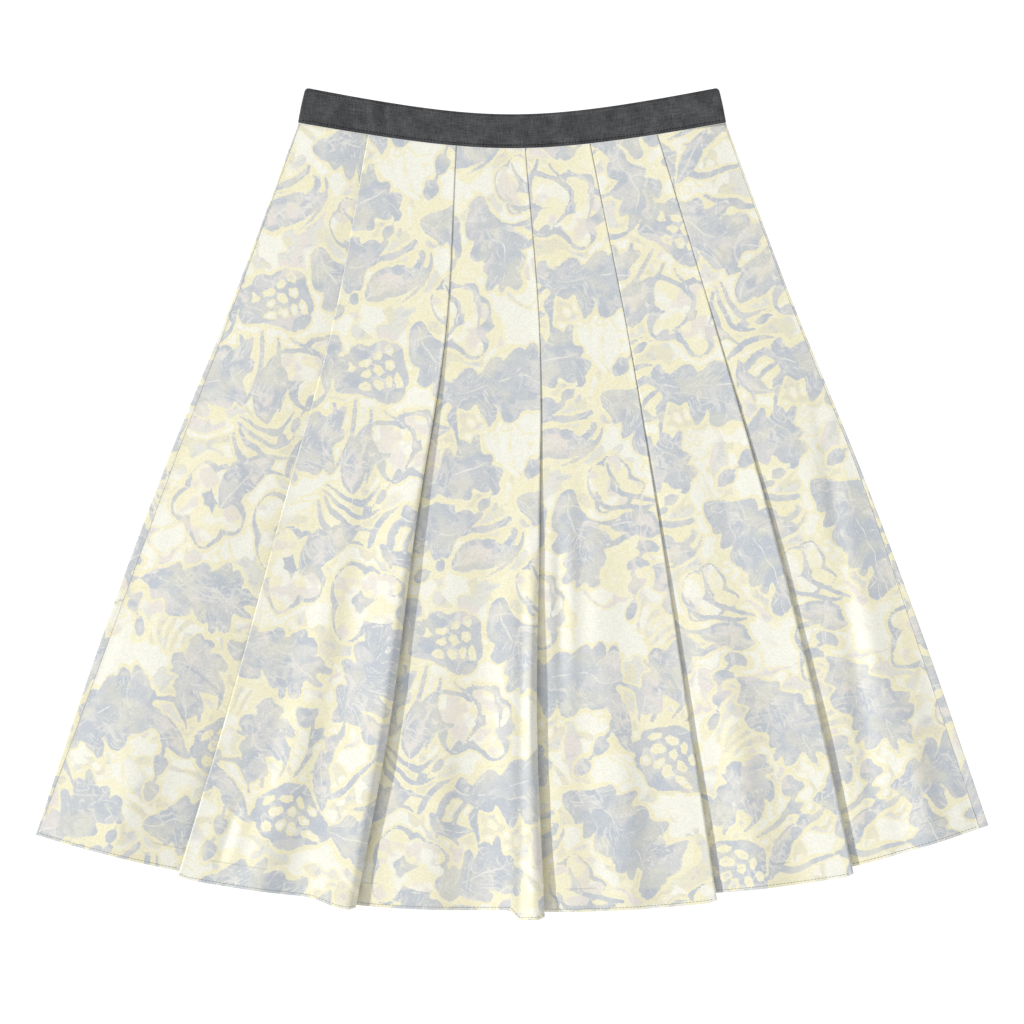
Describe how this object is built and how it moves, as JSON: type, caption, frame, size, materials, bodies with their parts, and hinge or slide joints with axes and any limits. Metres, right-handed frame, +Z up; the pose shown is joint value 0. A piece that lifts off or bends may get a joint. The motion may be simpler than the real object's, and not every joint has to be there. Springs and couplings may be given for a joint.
{
  "type": "pleated midi skirt",
  "caption": "Flared midi skirt in pale floral canvas, laid flat front up, with stitched-down pleats that open towards the hem and a narrow dark curved waistband.",
  "frame": {"origin": "middle of the skirt's footprint, on the surface that it lies on", "axes": "+Z up out of the front, +Y to the waistband, +X to the right as the front is looked at"},
  "size_m": [0.8352, 0.7282, 0.0164],
  "materials": {
    "floral_canvas": "matt plain-weave cotton canvas with a pale washed flower-and-leaf print in blue-grey, yellow and off-white on cream",
    "charcoal_chambray": "matt charcoal chambray, flecked weave, topstitched along both edges"
  },
  "bodies": {
    "root": {"skirt_front": "floral_canvas", "skirt_back": "floral_canvas", "waistband": "charcoal_chambray"}
  },
  "joints": []
}
